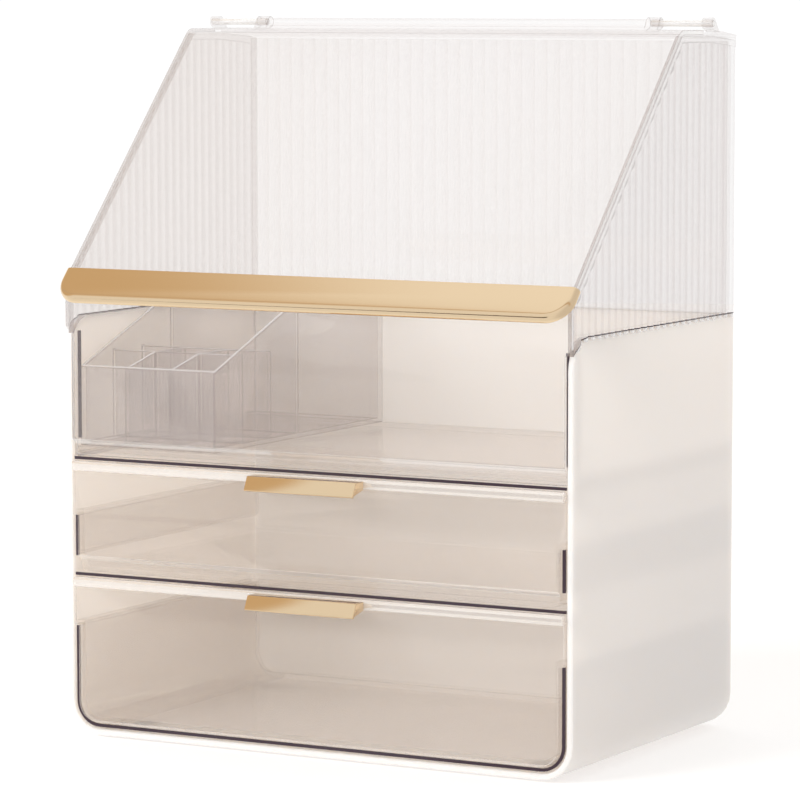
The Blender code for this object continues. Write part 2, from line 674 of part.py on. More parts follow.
# Divider tray: a clear lift-out tray, low cells in front and a deep one behind
tray_left = -inner_half + TRAY_SIDE_SPACE
tray_right = tray_left + TRAY_WIDTH
tray_front = SHELF_SETBACK + WALL_STEP
tray_rear = hood_rear_inner - TRAY_END_SPACE
tray_bottom = shelf_top + FIT_GAP
tray_floor = tray_bottom + TRAY_WALL
row = TRAY_CELL_DEPTH + TRAY_WALL
low_row_1 = tray_front + row
low_row_2 = low_row_1 + row
tall_row = low_row_2 + row
tray_front_top = tray_bottom + TRAY_FRONT_HEIGHT
tray_rear_top = tray_bottom + TRAY_REAR_HEIGHT
low_top = tray_bottom + LOW_DIVIDER_HEIGHT
tray_side = [
    (tray_front, tray_bottom),
    (tray_rear, tray_bottom),
    (tray_rear, tray_rear_top),
    (tall_row, tray_rear_top),
    (tray_front, tray_front_top),
]
tray = add("divider_tray", prism(tray_side, "X", tray_left, tray_right), tray_rig, clear)
cells = bmesh.new()
column = (TRAY_WIDTH - TRAY_WALL) / TRAY_COLUMNS
over = tray_rear_top + OVERRUN
for row_start in (tray_front, low_row_1):
    for i in range(TRAY_COLUMNS):
        cell_x = (tray_left + TRAY_WALL + column * i, tray_left + column * (i + 1))
        cell_y = (row_start + TRAY_WALL, row_start + row)
        push(cells, rectangle(cell_x, cell_y), "Z", tray_floor, over)
wide_cell = (tray_left + TRAY_WALL, tray_right - TRAY_WALL)
for start, end in ((low_row_2, tall_row), (tall_row, tray_rear - TRAY_WALL)):
    push(cells, rectangle(wide_cell, (start + TRAY_WALL, end)), "Z", tray_floor, over)
carve(tray, "DIFFERENCE", cells)
low_cut = [
    (tray_front + TRAY_WALL, tray_front_top),
    (low_row_1, low_top),
    (low_row_2 + TRAY_WALL, low_top),
    (low_row_2 + TRAY_WALL, over),
    (tray_front + TRAY_WALL, over),
]
carve(tray, "DIFFERENCE", prism(low_cut, "X", *wide_cell))
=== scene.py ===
import json
import math

import bmesh
import bpy
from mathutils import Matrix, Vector


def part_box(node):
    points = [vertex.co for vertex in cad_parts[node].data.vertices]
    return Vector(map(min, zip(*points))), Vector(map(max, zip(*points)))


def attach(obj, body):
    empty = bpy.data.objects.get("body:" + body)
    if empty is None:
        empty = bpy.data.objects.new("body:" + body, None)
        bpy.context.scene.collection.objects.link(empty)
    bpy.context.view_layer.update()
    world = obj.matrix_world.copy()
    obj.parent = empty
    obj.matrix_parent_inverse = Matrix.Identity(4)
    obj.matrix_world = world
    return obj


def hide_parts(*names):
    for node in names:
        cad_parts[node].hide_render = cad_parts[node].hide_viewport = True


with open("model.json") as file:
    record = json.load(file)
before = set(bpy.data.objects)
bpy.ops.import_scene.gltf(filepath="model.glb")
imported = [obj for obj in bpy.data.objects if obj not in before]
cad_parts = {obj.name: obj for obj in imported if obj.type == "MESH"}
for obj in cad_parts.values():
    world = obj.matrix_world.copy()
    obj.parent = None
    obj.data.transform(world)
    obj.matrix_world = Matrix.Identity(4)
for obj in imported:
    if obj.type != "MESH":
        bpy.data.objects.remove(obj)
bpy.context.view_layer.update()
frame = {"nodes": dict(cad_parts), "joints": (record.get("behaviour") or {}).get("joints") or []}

# Camera: a long lens at the height of the hood, to the right of the box and turned towards its front left.
# Its place, turn and tilt come from the straight edges of the real box.
CAMERA_PLACE = (1.0708, -1.9259, 0.4007)
CAMERA_TURN = 29.164
CAMERA_TILT = 5.859
CAMERA_ROLL = 0.083
LENS = 187.5
SENSOR = 36.0
VIEW_SHIFT = (0.01492, 0.01078)
FAR_CLIP = 20
camera = bpy.data.objects.new("camera", bpy.data.cameras.new("camera"))
bpy.context.scene.collection.objects.link(camera)
camera.location = CAMERA_PLACE
camera.rotation_euler = (math.radians(90 - CAMERA_TILT), math.radians(CAMERA_ROLL), math.radians(CAMERA_TURN))
camera.data.lens = LENS
camera.data.sensor_width = SENSOR
camera.data.shift_x, camera.data.shift_y = VIEW_SHIFT
camera.data.clip_end = FAR_CLIP
bpy.context.scene.camera = camera

# Studio: a white round table under a white surround that is greyer towards the camera and to the right, and a
# large soft panel to the front left. A dark screen with a slanting edge stands low at the front left; a warm
# screen high on the left and a darker rail above the front show in the gold.
TABLE_RADIUS = 3.0
TABLE_SIDES = 96
TABLE_ROUGHNESS = 0.7
TABLE_SPECULAR = 0.1
SURROUND_WHITE = 1.04
SURROUND_GREY = 0.90
FRONT_TO_BACK = (-0.7, 0.1)
RIGHT_FADE = (0.1, 0.8)
RIGHT_GREY = (0.74, 0.725, 0.72, 1)
TABLE_WHITE = (0.62, 0.615, 0.61, 1)
TABLE_GLOW = 0.45
SCREEN_SHADE = (0.10, 0.08, 0.08, 1)
SCREEN_EDGE = ((-0.465, -0.881, -0.082), (-0.497, -0.855, -0.146))
SCREEN_FOOT_EDGE = ((-0.532, -0.834, -0.144), (-0.544, -0.823, -0.167))
SCREEN_STEP = ((-0.532, -0.834, -0.141), (-0.445, -0.882, -0.154))
SCREEN_SOFTNESS = 0.0012
SCREEN_TOP = (0.02, 0.08)
SCREEN_FOOT = (0.20, 0.26)
SCREEN_END = (0.10, 0.22)
SCREEN_FRONT = (0.2, 0.5)
WARM_SCREEN = (0.68, 0.52, 0.34, 1)
WARM_AIM = (-0.86, -0.20, 0.47)
WARM_EDGE = (0.815, 0.905)
RAIL_SHADE = (0.62, 0.50, 0.38, 1)
RAIL_NORMAL = (0, 0.903, 0.428)
RAIL_EDGE = (-0.09, -0.05)
RAIL_FADE = (0.2, 0.4)
PANEL_PLACE = (-1.6, -2.6, 1.45)
PANEL_AIM = (0, 0, 0.2)
PANEL_SIZE = (1.8, 1.4)
PANEL_POWER = 80
scene = bpy.context.scene
scene.view_settings.view_transform = "Standard"
scene.cycles.max_bounces = 24
scene.cycles.transmission_bounces = 24
scene.cycles.transparent_max_bounces = 48
scene.cycles.diffuse_bounces = 6
scene.cycles.glossy_bounces = 8

table_bm = bmesh.new()
bmesh.ops.create_circle(table_bm, segments=TABLE_SIDES, radius=TABLE_RADIUS, cap_ends=True)
table_mesh = bpy.data.meshes.new("table")
table_bm.to_mesh(table_mesh)
table_bm.free()
table = bpy.data.objects.new("table", table_mesh)
scene.collection.objects.link(table)
table_paint = bpy.data.materials.new("studio_table")
table_paint.use_nodes = True
table_shader = table_paint.node_tree.nodes["Principled BSDF"]
table_shader.inputs["Base Color"].default_value = TABLE_WHITE
table_shader.inputs["Roughness"].default_value = TABLE_ROUGHNESS
table_shader.inputs["Specular IOR Level"].default_value = TABLE_SPECULAR
table_shader.inputs["Emission Color"].default_value = (1, 1, 1, 1)
table_shader.inputs["Emission Strength"].default_value = TABLE_GLOW
table_mesh.materials.append(table_paint)
table.visible_glossy = False

world = bpy.data.worlds.new("surround")
scene.world = world
world.use_nodes = True
sky = world.node_tree
view = sky.nodes.new("ShaderNodeTexCoord")


def toward(direction, low, high):
    """A mask over the surround: 0 to 1 as the share of a direction in the view goes from low to high."""
    share = sky.nodes.new("ShaderNodeVectorMath")
    share.operation = "DOT_PRODUCT"
    share.inputs[1].default_value = direction
    sky.links.new(view.outputs["Generated"], share.inputs[0])
    mask = sky.nodes.new("ShaderNodeMapRange")
    mask.interpolation_type = "SMOOTHSTEP"
    mask.inputs["From Min"].default_value = low
    mask.inputs["From Max"].default_value = high
    sky.links.new(share.outputs["Value"], mask.inputs["Value"])
    return mask.outputs["Result"]


def layered(so_far, colour, mask):
    """The surround's colour so far, with one more colour laid over it where the mask says."""
    mix = sky.nodes.new("ShaderNodeMix")
    mix.data_type = "RGBA"
    sky.links.new(mask, mix.inputs[0])
    sky.links.new(so_far, mix.inputs[6])
    mix.inputs[7].default_value = colour
    return mix.outputs[2]


def both(first, second):
    """Where two masks overlap."""
    product = sky.nodes.new("ShaderNodeMath")
    product.operation = "MULTIPLY"
    sky.links.new(first, product.inputs[0])
    sky.links.new(second, product.inputs[1])
    return product.outputs[0]


def right_of(edge):
    """A sharp mask of all that lies right of a straight edge, given by the directions of its two ends."""
    normal = Vector(edge[0]).cross(Vector(edge[1])).normalized()
    if normal.x < 0:
        normal.negate()
    return toward(normal, -SCREEN_SOFTNESS, SCREEN_SOFTNESS)


def below(edge):
    """A sharp mask of all that lies below a straight edge."""
    normal = Vector(edge[0]).cross(Vector(edge[1])).normalized()
    if normal.z > 0:
        normal.negate()
    return toward(normal, -SCREEN_SOFTNESS, SCREEN_SOFTNESS)


base = sky.nodes.new("ShaderNodeMix")
base.data_type = "RGBA"
base.inputs[6].default_value = (SURROUND_GREY, SURROUND_GREY, SURROUND_GREY, 1)
base.inputs[7].default_value = (SURROUND_WHITE, SURROUND_WHITE, SURROUND_WHITE, 1)
sky.links.new(toward((0, 1, 0), *FRONT_TO_BACK), base.inputs[0])
tone = layered(base.outputs[2], RIGHT_GREY, toward((1, 0, 0), *RIGHT_FADE))
tone = layered(tone, WARM_SCREEN, toward(Vector(WARM_AIM).normalized(), *WARM_EDGE))
above_rail = toward(RAIL_NORMAL, *RAIL_EDGE)
below_rail = toward(-Vector(RAIL_NORMAL), *RAIL_EDGE)
tone = layered(tone, RAIL_SHADE, both(both(above_rail, below_rail), toward((0, 0, 1), *RAIL_FADE)))
screen = sky.nodes.new("ShaderNodeMath")
screen.operation = "MAXIMUM"
sky.links.new(right_of(SCREEN_EDGE), screen.inputs[0])
sky.links.new(both(right_of(SCREEN_FOOT_EDGE), below(SCREEN_STEP)), screen.inputs[1])
screen_mask = both(screen.outputs[0], toward((0, 0, -1), -SCREEN_TOP[1], -SCREEN_TOP[0]))
screen_mask = both(screen_mask, toward((0, 0, 1), -SCREEN_FOOT[1], -SCREEN_FOOT[0]))
screen_mask = both(both(screen_mask, toward((0, -1, 0), *SCREEN_FRONT)), toward((-1, 0, 0), *SCREEN_END))
shaded = layered(tone, SCREEN_SHADE, screen_mask)
sky.links.new(shaded, sky.nodes["Background"].inputs["Color"])


def panel(name, place, aim, size, power):
    """A rectangular soft light, aimed at a point; no surface mirrors it."""
    lamp = bpy.data.objects.new(name, bpy.data.lights.new(name, "AREA"))
    lamp.data.shape = "RECTANGLE"
    lamp.data.size, lamp.data.size_y = size
    lamp.data.energy = power
    lamp.location = place
    lamp.visible_glossy = False
    lamp.rotation_euler = (Vector(aim) - Vector(place)).to_track_quat("-Z", "Y").to_euler()
    scene.collection.objects.link(lamp)


panel("front_left_panel", PANEL_PLACE, PANEL_AIM, PANEL_SIZE, PANEL_POWER)

# Case: one champagne moulding, nearly opaque, whose walls let light soak through.
# Its rims are rounded, and flow marks from the mould drift slowly over its colour and its gloss.
CHAMPAGNE = (0.810, 0.755, 0.715)
CHAMPAGNE_DEEP = (0.800, 0.744, 0.703)
CASE_RIM_RADIUS = 0.0012
CASE_RIM_STEPS = 4
CASE_GLOSS = (0.38, 0.42)
CASE_RELIEF = 0.00002
SOAK_RADIUS = (1.0, 0.9, 0.8)
SOAK_DEPTH = 0.015
FLOW_SCALE = 9.0
FLOW_DETAIL = 3
FLOW_DRIFT = 0.6
PEEL_SCALE = 420.0
PEEL_DETAIL = 2
PLASTIC_IOR = 1.49
MERGE = 0.00002
FLAT_ANGLE = 0.6
CREASE = 32
FLAT_SLOT = 0
EDGE_SLOT = 1


def moulded_surface():
    """Flow marks and orange peel: a slow cloud for the colour and the gloss, and a height for the bump."""
    group = bpy.data.node_groups.new("moulded_surface", "ShaderNodeTree")
    for name in ("Flow Scale", "Peel Scale"):
        group.interface.new_socket(name, in_out="INPUT", socket_type="NodeSocketFloat")
    for name in ("Cloud", "Height"):
        group.interface.new_socket(name, in_out="OUTPUT", socket_type="NodeSocketFloat")
    nodes, links = group.nodes, group.links
    given = nodes.new("NodeGroupInput")
    result = nodes.new("NodeGroupOutput")
    coord = nodes.new("ShaderNodeTexCoord")
    flow = nodes.new("ShaderNodeTexNoise")
    flow.inputs["Detail"].default_value = FLOW_DETAIL
    flow.inputs["Distortion"].default_value = FLOW_DRIFT
    peel = nodes.new("ShaderNodeTexNoise")
    peel.inputs["Detail"].default_value = PEEL_DETAIL
    for texture, scale in ((flow, "Flow Scale"), (peel, "Peel Scale")):
        links.new(coord.outputs["Object"], texture.inputs["Vector"])
        links.new(given.outputs[scale], texture.inputs["Scale"])
    links.new(flow.outputs["Fac"], result.inputs["Cloud"])
    links.new(peel.outputs["Fac"], result.inputs["Height"])
    return group


surface_group = moulded_surface()


def moulding(name, colour, deep, gloss, bump):
    """One moulded plastic or plating: its colour and its gloss drift with the flow marks."""
    material = bpy.data.materials.new(name)
    material.use_nodes = True
    nodes, links = material.node_tree.nodes, material.node_tree.links
    shader = nodes["Principled BSDF"]
    shader.inputs["IOR"].default_value = PLASTIC_IOR
    marks = nodes.new("ShaderNodeGroup")
    marks.node_tree = surface_group
    marks.inputs["Flow Scale"].default_value = FLOW_SCALE
    marks.inputs["Peel Scale"].default_value = PEEL_SCALE
    blend = nodes.new("ShaderNodeMix")
    blend.data_type = "RGBA"
    blend.inputs[6].default_value = (*colour, 1)
    blend.inputs[7].default_value = (*deep, 1)
    links.new(marks.outputs["Cloud"], blend.inputs[0])
    links.new(blend.outputs[2], shader.inputs["Base Color"])
    sheen = nodes.new("ShaderNodeMapRange")
    sheen.inputs["To Min"].default_value = gloss[0]
    sheen.inputs["To Max"].default_value = gloss[1]
    links.new(marks.outputs["Cloud"], sheen.inputs["Value"])
    links.new(sheen.outputs["Result"], shader.inputs["Roughness"])
    relief = nodes.new("ShaderNodeBump")
    relief.inputs["Distance"].default_value = bump
    links.new(marks.outputs["Height"], relief.inputs["Height"])
    links.new(relief.outputs["Normal"], shader.inputs["Normal"])
    return material


def show(name, bm, body, slot, materials, *nodes):
    """Turns a finished mesh into a smooth-shaded piece that rides on a body and stands for its nodes."""
    mesh = bpy.data.meshes.new(name)
    bm.to_mesh(mesh)
    bm.free()
    mesh.shade_smooth()
    mesh.set_sharp_from_angle(angle=math.radians(CREASE))
    for material in materials:
        mesh.materials.append(material)
    piece = bpy.data.objects.new(name, mesh)
    scene.collection.objects.link(piece)
    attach(piece, body)
    if nodes:
        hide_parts(*nodes)


def eased(node, ease, steps=3, inner=False):
    """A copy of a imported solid, outer edges rounded, or all of them with inner; rounds get the edge slot."""
    bm = bmesh.new()
    bm.from_mesh(frame["nodes"][node].data)
    bmesh.ops.remove_doubles(bm, verts=bm.verts, dist=MERGE)
    bmesh.ops.dissolve_limit(bm, angle_limit=math.radians(FLAT_ANGLE), verts=bm.verts, edges=bm.edges)
    corners = [e for e in bm.edges if e.is_manifold and e.calc_face_angle() > math.radians(CREASE)]
    sharp = [e for e in corners if inner or e.is_convex]
    rounding = {"offset": ease, "segments": steps, "profile": 0.5, "clamp_overlap": True}
    eased_faces = bmesh.ops.bevel(bm, geom=sharp, affect="EDGES", material=-1, **rounding)["faces"]
    for face in bm.faces:
        face.material_index = FLAT_SLOT
    for face in eased_faces:
        face.material_index = EDGE_SLOT
    return bm


champagne = moulding("champagne_moulding", CHAMPAGNE, CHAMPAGNE_DEEP, CASE_GLOSS, CASE_RELIEF)
champagne_shader = champagne.node_tree.nodes["Principled BSDF"]
champagne_shader.inputs["Subsurface Weight"].default_value = 1.0
champagne_shader.inputs["Subsurface Radius"].default_value = SOAK_RADIUS
champagne_shader.inputs["Subsurface Scale"].default_value = SOAK_DEPTH
case_bm = eased("base_shell", CASE_RIM_RADIUS, CASE_RIM_STEPS)
show("case_moulding", case_bm, "case", "champagne_plastic", [champagne, champagne], "base_shell")
case_low, case_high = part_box("base_shell")
front = case_low.y
rear = case_high.y
seam = case_high.z
half = case_high.x

# Feet: four soft pads glued under the flat of the case.
# They are cut from a translucent sheet and are just thick enough to leave a thin line of shade under the box.
PAD_GREY = (0.74, 0.71, 0.68)
PAD_DEEP = (0.66, 0.63, 0.60)
PAD_GLOSS = (0.5, 0.65)
PAD_RELIEF = 0.00004
PAD_EASE = 0.0003
pad_rubber = moulding("pad_rubber", PAD_GREY, PAD_DEEP, PAD_GLOSS, PAD_RELIEF)
for end in ("front", "rear"):
    for side in ("left", "right"):
        node = f"foot_{end}_{side}"
        show(f"{end}_{side}_pad", eased(node, PAD_EASE), "case", "foot_pad", [pad_rubber, pad_rubber], node)

# Shelf and linings: tinted clear mouldings inside the case. A sheet of it takes a little colour from what is
# behind it, and its rounded edges carry a paler, more opaque colour: a painted highlight along their length.
TINT = (0.93, 0.850, 0.785)
TINT_DEEP = (0.90, 0.815, 0.750)
TINT_EDGE_HIGHLIGHT = (0.93, 0.88, 0.83)
TINT_ALPHA = (0.09, 0.60)
TINT_EDGE_ALPHA = (0.45, 0.75)
TINT_GLOSS = (0.03, 0.08)
TINT_EDGE_GLOSS = (0.05, 0.10)
MIRROR_SHARE = 0.5
TURN_SHARPNESS = 0.18
POLISH = 0.000004
EDGE_EASE = 0.0004


def see_through(material, alpha):
    """Lets light through a plastic: little is kept where it faces the eye, and more where it turns away."""
    nodes, links = material.node_tree.nodes, material.node_tree.links
    nodes["Principled BSDF"].inputs["Metallic"].default_value = MIRROR_SHARE
    weight = nodes.new("ShaderNodeLayerWeight")
    weight.inputs["Blend"].default_value = TURN_SHARPNESS
    cover = nodes.new("ShaderNodeMapRange")
    cover.inputs["To Min"].default_value = alpha[0]
    cover.inputs["To Max"].default_value = alpha[1]
    links.new(weight.outputs["Facing"], cover.inputs["Value"])
    links.new(cover.outputs["Result"], nodes["Principled BSDF"].inputs["Alpha"])
    return material


tinted = see_through(moulding("tinted_moulding", TINT, TINT_DEEP, TINT_GLOSS, POLISH), TINT_ALPHA)
tinted_edge_highlight = moulding("tinted_edge_highlight", TINT_EDGE_HIGHLIGHT, TINT_DEEP, TINT_EDGE_GLOSS, POLISH)
see_through(tinted_edge_highlight, TINT_EDGE_ALPHA)
tinted_pair = [tinted, tinted_edge_highlight]
shelf_bm = eased("compartment_shelf", EDGE_EASE)
show("shelf_plate", shelf_bm, "case", "tinted_clear_plastic", tinted_pair, "compartment_shelf")
for height in ("lower", "upper"):
    for side in ("left", "right"):
        node = f"runner_{height}_{side}"
        lining_bm = eased(node, EDGE_EASE)
        show(f"{height}_{side}_lining", lining_bm, "case", "tinted_clear_plastic", tinted_pair, node)

# Shade lines: painted shade. Thin dark bars, fixed to the case a little behind the fronts, stand in for
# the lines of shade beside, below and between the fronts; two of them run across the case.
SHADE = (0.030, 0.014, 0.022)
SHADE_DEEP = (0.060, 0.045, 0.060)
SHADE_GLOSS = (0.15, 0.3)
BAR_DEPTH = 0.0010
BAR_WIDTH = 0.0016
BAR_SETBACK = 0.0008
BAR_X = 0.1448
LID_BAR_SETBACK = 0.0040
LINING_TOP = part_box("runner_lower_right")[1].z
CORNER_X = 0.132
CORNER_Z = 0.0193
CORNER_STEPS = 12
GAP_SHADE_HALF = 0.1460
DRAWER_GAP_SHADE_Z = 0.0873
SHELF_GAP_SHADE_Z = 0.1493
GAP_SHADE_WIDTH = 0.0015
LID_LINE_BELOW_SEAM = 0.0070
LID_LINE_ABOVE_SHELF = 0.0045
shade = moulding("shade_edge", SHADE, SHADE_DEEP, SHADE_GLOSS, POLISH)


def bar(path, width, setback):
    """A thin bar along a path in X and Z: its outline as one face, pushed back."""
    bm = bmesh.new()
    sides = ([], [])
    for i, point in enumerate(path):
        here = Vector(point)
        back = (here - Vector(path[max(i - 1, 0)])).normalized()
        ahead = (Vector(path[min(i + 1, len(path) - 1)]) - here).normalized()
        along = (back + ahead).normalized()
        across = Vector((-along.y, along.x)) * width / 2
        for side, sign in zip(sides, (1, -1)):
            place = here + across * sign
            side.append(bm.verts.new((place.x, front + setback, place.y)))
    face = bm.faces.new(sides[0] + sides[1][::-1])
    grown = bmesh.ops.extrude_face_region(bm, geom=[face])["geom"]
    moved = [item for item in grown if isinstance(item, bmesh.types.BMVert)]
    bmesh.ops.translate(bm, verts=moved, vec=(0, BAR_DEPTH, 0))
    bmesh.ops.recalc_face_normals(bm, faces=bm.faces)
    return bm


corner = [math.radians(90 * i / CORNER_STEPS) for i in range(CORNER_STEPS + 1)]
corner_radius = BAR_X - CORNER_X
right_turn = [
    (CORNER_X + corner_radius * math.cos(turn), CORNER_Z - corner_radius * math.sin(turn)) for turn in corner
]
right_side = [(BAR_X, LINING_TOP)] + right_turn
left_side = [(-x, z) for x, z in right_side]
upper_low, upper_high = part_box("runner_upper_right")
shelf_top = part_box("compartment_shelf")[1].z
lid_side = [(BAR_X, seam - LID_LINE_BELOW_SEAM), (BAR_X, shelf_top + LID_LINE_ABOVE_SHELF)]
bars = {"lower_shade_line": (left_side + right_side[::-1], BAR_WIDTH, BAR_SETBACK)}
# Two bars of painted shade run across the case between the fronts.
for name, height in (("drawer_gap_shade_line", DRAWER_GAP_SHADE_Z), ("shelf_gap_shade_line", SHELF_GAP_SHADE_Z)):
    bars[name] = ([(-GAP_SHADE_HALF, height), (GAP_SHADE_HALF, height)], GAP_SHADE_WIDTH, BAR_SETBACK)
for side_name, sign in (("left", -1), ("right", 1)):
    beside_drawer = [(sign * BAR_X, upper_high.z), (sign * BAR_X, upper_low.z)]
    bars[f"upper_{side_name}_shade_line"] = (beside_drawer, BAR_WIDTH, BAR_SETBACK)
    beside_lid = [(sign * x, z) for x, z in lid_side]
    bars[f"lid_{side_name}_shade_line"] = (beside_lid, BAR_WIDTH, LID_BAR_SETBACK)
for name, (path, width, setback) in bars.items():
    show(name, bar(path, width, setback), "case", "tinted_clear_plastic", [shade])

# Drawers: two tinted clear mouldings. Each has a rounded lip along its top front edge, a jog near the foot of
# its front, and flanges that slide on the linings; lips and jogs carry a nearly white painted highlight.
LIP_HEIGHT = 0.0055
LIP_REACH = 0.0075
LIP_HIGHLIGHT = (0.97, 0.935, 0.90)
LIP_ALPHA = (0.50, 0.85)
LIP_GLOSS = (0.05, 0.12)
SLANT = -0.5
LIP_SLOT = 2
lip_highlight = see_through(moulding("lip_highlight", LIP_HIGHLIGHT, TINT_EDGE_HIGHLIGHT, LIP_GLOSS, POLISH), LIP_ALPHA)


def slanted(face):
    """Whether a face looks forwards and down, as a jog does."""
    return face.normal.y < SLANT and face.normal.z < SLANT


for height in ("lower", "upper"):
    node = f"drawer_{height}"
    low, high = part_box(node)
    drawer_bm = eased(node, EDGE_EASE)
    # Painted highlight on the lip and the jog.
    for face in drawer_bm.faces:
        middle = face.calc_center_median()
        in_lip = middle.z > high.z - LIP_HEIGHT and middle.y < low.y + LIP_REACH
        if in_lip or slanted(face):
            face.material_index = LIP_SLOT
    drawer_set = [*tinted_pair, lip_highlight]
    show(f"{height}_drawer_moulding", drawer_bm, f"{height}_drawer", "tinted_clear_plastic", drawer_set, node)

# Divider tray: a colourless lift-out moulding with low cells in front and a deep one behind.
# The tops of its walls carry a white painted highlight, and its corners and rounded edges thin grey lines of
# painted shade.
CLEAR = (0.70, 0.640, 0.620)
CLEAR_DEEP = (0.66, 0.600, 0.585)
CLEAR_EDGE_SHADE = (0.22, 0.170, 0.155)
CLEAR_HIGHLIGHT = (0.97, 0.96, 0.95)
CLEAR_ALPHA = (0.075, 0.60)
CLEAR_EDGE_ALPHA = (0.45, 0.75)
CLEAR_WHITE_ALPHA = (0.55, 0.90)
CLEAR_GLOSS = (0.02, 0.05)
CLEAR_EDGE_GLOSS = (0.04, 0.08)
TRAY_EASE = 0.0006
TRAY_EASE_STEPS = 2
ABOVE_TRAY_FLOOR = 0.01
FACES_UP = 0.5
WHITE_SLOT = 2
clear = see_through(moulding("clear_moulding", CLEAR, CLEAR_DEEP, CLEAR_GLOSS, POLISH), CLEAR_ALPHA)
clear_edge_shade = moulding("clear_edge_shade", CLEAR_EDGE_SHADE, CLEAR_DEEP, CLEAR_EDGE_GLOSS, POLISH)
see_through(clear_edge_shade, CLEAR_EDGE_ALPHA)
clear_highlight = moulding("clear_highlight", CLEAR_HIGHLIGHT, CLEAR_HIGHLIGHT, CLEAR_EDGE_GLOSS, POLISH)
see_through(clear_highlight, CLEAR_WHITE_ALPHA)
clear_set = [clear, clear_edge_shade, clear_highlight]
wall_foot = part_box("divider_tray")[0].z + ABOVE_TRAY_FLOOR
tray_bm = eased("divider_tray", TRAY_EASE, TRAY_EASE_STEPS, inner=True)
# Painted highlight on the tops of the walls; the rounds keep the dark painted edge shade.
for face in tray_bm.faces:
    if face.normal.z > FACES_UP and face.calc_center_median().z > wall_foot:
        face.material_index = WHITE_SLOT
show("tray_moulding", tray_bm, "tray", "clear_plastic", clear_set, "divider_tray")

# Hood: two fluted side panels and a fluted rear panel of colourless plastic, seated on the case. The side
# flutes end in small round tongues below the seam, and a plain band runs along the top of each side.
FLUTE_PITCH = 0.0077
FLUTE_HEIGHT = 0.0013
FLUTE_STEPS = 12
TONGUE = 0.0018
BAND_HEIGHT = 0.0034
SHOULDER_RADIUS = 0.016
SEAT_GAP = 0.0003
side_low, side_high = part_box("hood_side_right")
strip_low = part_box("hood_top")[0]
rear_low, rear_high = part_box("hood_rear")
flute_crest = side_high.x
flute_valley = flute_crest - FLUTE_HEIGHT
hood_inner = side_low.x
seat_x = half + SEAT_GAP


def flute(along, start, end):
    """How far a flute stands out at a place along a run of flutes, from 0 to 1."""
    count = round((end - start) / FLUTE_PITCH)
    share = min(max((along - start) / (end - start), 0), 1)
    return abs(math.sin(math.pi * share * count))


def fluted(places, section, axis):
    """A panel whose cross-section changes along an axis: a grid rolled into a tube and closed at its ends."""
    loops = [section(place) for place in places]
    bm = bmesh.new()
    sides = len(loops[0])
    bmesh.ops.create_grid(bm, x_segments=len(places) - 1, y_segments=sides, size=1)
    for vert in bm.verts:
        i = round((vert.co.x + 1) / 2 * (len(places) - 1))
        j = round((vert.co.y + 1) / 2 * sides) % sides
        u, z = loops[i][j]
        vert.co = (u, places[i], z) if axis == "Y" else (places[i], u, z)
    bmesh.ops.remove_doubles(bm, verts=bm.verts, dist=MERGE / 2)
    bmesh.ops.holes_fill(bm, edges=[e for e in bm.edges if e.is_boundary], sides=0)
    bmesh.ops.recalc_face_normals(bm, faces=bm.faces)
    return bm


# The side panels' upper edge follows the underside of the lid and the fixed top strip, 0.3 mm clear of both.
LID_SHEET = 0.0025
LID_PROUD = 0.0012
BEND_Z = 0.2442
LID_TOP_FROM_HINGE = 0.0318
TOP_STRIP_DROP = 0.0030
STRIP_BEND = 1.3
CASE_CORNER_STEP = 0.0004
hinge = next(joint for joint in frame["joints"] if joint["name"] == "lid_hinge")["pos_m"]
bend_y = front - LID_PROUD
slope_end = hinge[1] - LID_TOP_FROM_HINGE
lid_top = strip_low.z + LID_SHEET + TOP_STRIP_DROP
slope = Vector((slope_end - bend_y, lid_top - BEND_Z)).normalized()
slope_out = Vector((-slope.y, slope.x))
under_lid = LID_SHEET + SEAT_GAP


def panel_top(y):
    """The height of a side panel's upper edge."""
    on_slope = BEND_Z + ((y - bend_y) * slope.y - under_lid) / slope.x
    strip_share = min(max((y - strip_low.y) / (rear - strip_low.y), 0), 1)
    return min(on_slope, lid_top - under_lid - TOP_STRIP_DROP * strip_share**STRIP_BEND)


def panel_foot(y):
    """The height of a side panel's seat, along the seam and down round the case's shoulder."""
    centre_y = front + SHOULDER_RADIUS
    if y >= centre_y:
        return seam + SEAT_GAP
    reach = (SHOULDER_RADIUS + SEAT_GAP) ** 2 - (centre_y - y) ** 2
    return seam - SHOULDER_RADIUS + math.sqrt(max(reach, 0))


# Painted shade on the side panels: each flute is darker in the grooves beside it, and a dark line of painted
# shade runs along the seam. The tongues below it carry a white painted highlight, and the rims and front ends
# carry dark painted edge shade.
SEAM_LINE = 0.0006
GROOVE_SHARE = 0.55
GROOVE_SHADE = (0.64, 0.535, 0.525)
GROOVE_SHADE_DEEP = (0.60, 0.500, 0.490)
GROOVE_ALPHA = (0.20, 0.60)
SKIN_FACING = 0.3
RIM_FACING = 0.3
FRONT_FACING = -0.9
BELOW_SEAT = SEAT_GAP / 10
GROOVE_SLOT = 3
SEAM_SLOT = 4
groove_shade = moulding("clear_groove_shade", GROOVE_SHADE, GROOVE_SHADE_DEEP, CLEAR_EDGE_GLOSS, POLISH)
see_through(groove_shade, GROOVE_ALPHA)
side_start = side_low.y + CASE_CORNER_STEP
side_end = rear - CASE_CORNER_STEP
side_steps = round((side_end - side_start) / FLUTE_PITCH) * FLUTE_STEPS
along_flutes = [side_start + (side_end - side_start) * i / side_steps for i in range(side_steps + 1)]
side_places = [side_low.y, *along_flutes, rear]


